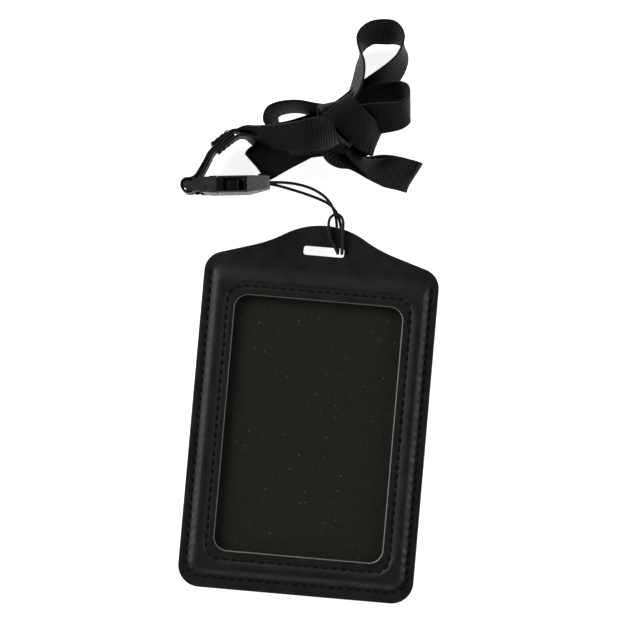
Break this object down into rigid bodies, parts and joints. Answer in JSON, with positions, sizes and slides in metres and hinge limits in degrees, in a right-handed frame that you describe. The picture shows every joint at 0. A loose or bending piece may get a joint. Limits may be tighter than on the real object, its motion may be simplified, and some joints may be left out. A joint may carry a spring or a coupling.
{
  "type": "lanyard badge holder",
  "caption": "Stitched leather badge holder with a clear window and a hanging slot, a looped cord, a side-release buckle and a bunched neck strap.",
  "frame": {"origin": "middle of the holder's back face, where it lies on a table", "axes": "+Y from the holder's bottom edge up to its slot and strap, +Z out of its front, +X to its right seen from the front"},
  "size_m": [0.0786, 0.1718, 0.017],
  "materials": {
    "leather": "black coated leather with a fine pressed grain, low sheen",
    "board": "grey board, hidden",
    "lining": "matt brownish-black lining with a fine mottle",
    "film": "clear soft film, glossy",
    "foam": "soft grey foam, hidden",
    "thread": "black twisted polyester thread",
    "cord": "black braided cord",
    "buckle_plastic": "black moulded acetal, glossy",
    "webbing": "black ribbed polyester webbing with selvage edges, slight sheen"
  },
  "bodies": {
    "holder": {"back_cover": "leather", "back_board": "board", "pocket_lining": "lining", "window_film": "film", "frame_padding": "foam", "front_frame": "leather", "outer_stitching": "thread", "window_stitching": "thread", "tether_cord": "cord", "cord_knot": "cord", "buckle_socket": "buckle_plastic"},
    "plug": {"buckle_plug": "buckle_plastic"},
    "arm_upper": {"release_arm_upper": "buckle_plastic"},
    "arm_lower": {"release_arm_lower": "buckle_plastic"},
    "neck_strap": {"webbing_loop": "webbing", "neck_strap_end_upper": "webbing", "neck_strap_end_lower": "webbing", "joint_stitching": "thread", "neck_strap_bunch": "webbing"}
  },
  "joints": [
    {"name": "plug_slide", "type": "slide", "parent": "holder", "child": "plug", "axis": [-0.9945, -0.1045, 0], "range_m": [0, 0.014], "deforming": ["release_arm_upper", "release_arm_lower"]},
    {"name": "arm_upper_squeeze", "type": "hinge", "parent": "plug", "child": "arm_upper", "pos_m": [-0.03444, 0.06364, 0.0096], "axis": [-0.1045, 0.9945, 0], "range_deg": [0, 12], "stiffness_Nm_per_rad": 0.14},
    {"name": "arm_lower_squeeze", "type": "hinge", "parent": "plug", "child": "arm_lower", "pos_m": [-0.03444, 0.06364, 0.0034], "axis": [0.1045, -0.9945, 0], "range_deg": [0, 12], "stiffness_Nm_per_rad": 0.14},
    {"name": "strap_pivot", "type": "hinge", "parent": "plug", "child": "neck_strap", "pos_m": [-0.0415, 0.0629, 0.0065], "axis": [0, 0, 1], "range_deg": [0, 30]}
  ]
}
